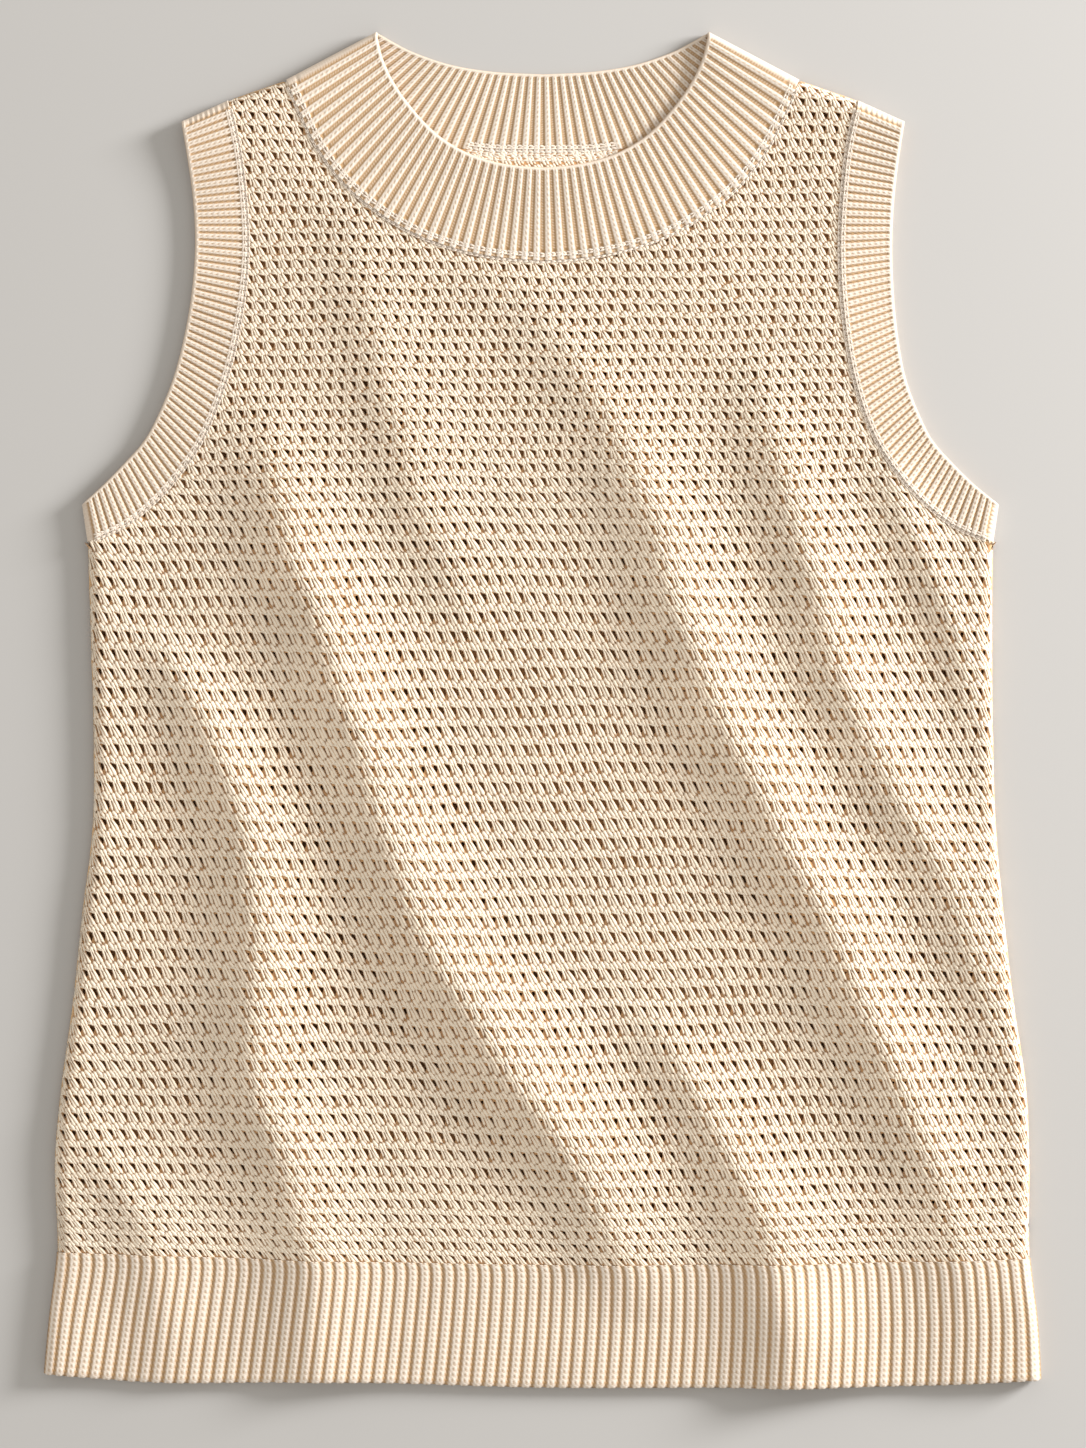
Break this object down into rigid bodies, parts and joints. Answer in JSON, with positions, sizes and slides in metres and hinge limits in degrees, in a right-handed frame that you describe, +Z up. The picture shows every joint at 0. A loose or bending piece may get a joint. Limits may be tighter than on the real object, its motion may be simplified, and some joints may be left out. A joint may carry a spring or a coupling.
{
  "type": "sleeveless knit top",
  "caption": "Sleeveless knit top laid flat, front up: openwork body, high round ribbed neckband, ribbed armhole bands, wide ribbed hem, front in soft slanting folds.",
  "frame": {"origin": "on the floor that the back panel rests on, under the middle of the garment's outline", "axes": "+Y from the hem to the neck, +X towards the wearer's left side, +Z up from the floor, through the back and then the front"},
  "size_m": [0.4895, 0.665, 0.0172],
  "materials": {
    "openwork_knit": "matt ecru cotton yarn in an openwork mesh stitch",
    "rib_knit": "matt ecru cotton yarn in a close rib"
  },
  "bodies": {
    "root": {"front_body": "openwork_knit", "back_body": "openwork_knit", "front_hem_rib": "rib_knit", "back_hem_rib": "rib_knit", "neckband": "rib_knit", "armband_left": "rib_knit", "armband_right": "rib_knit"}
  },
  "joints": []
}
